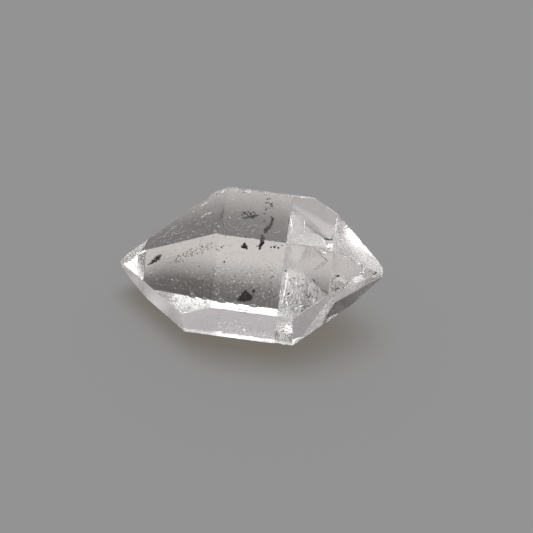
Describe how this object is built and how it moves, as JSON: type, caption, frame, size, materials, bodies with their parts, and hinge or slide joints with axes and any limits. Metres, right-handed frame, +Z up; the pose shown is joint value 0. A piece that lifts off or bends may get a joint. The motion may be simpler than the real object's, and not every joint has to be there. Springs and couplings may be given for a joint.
{
  "type": "herkimer diamond",
  "caption": "Clear quartz crystal with a point at each end, lying on one of its flat side faces; a mineral specimen for a shelf, tray or display.",
  "frame": {"origin": "centre of the bounding box in plan, on the plane of the side face that the crystal lies on", "axes": "+X along the crystal's long axis to its right-hand point, +Y to the back, +Z up"},
  "size_m": [0.0242, 0.0138, 0.0122],
  "materials": {
    "quartz": "clear colourless quartz with natural bright faces, chips on its edges and faint growth steps",
    "carbon": "black carbon flecks sealed inside the crystal, dull and ragged",
    "veil": "healed cracks and clouds of tiny fluid bubbles sealed inside the crystal, silvery white"
  },
  "bodies": {
    "root": {"crystal": "quartz"}
  },
  "joints": []
}
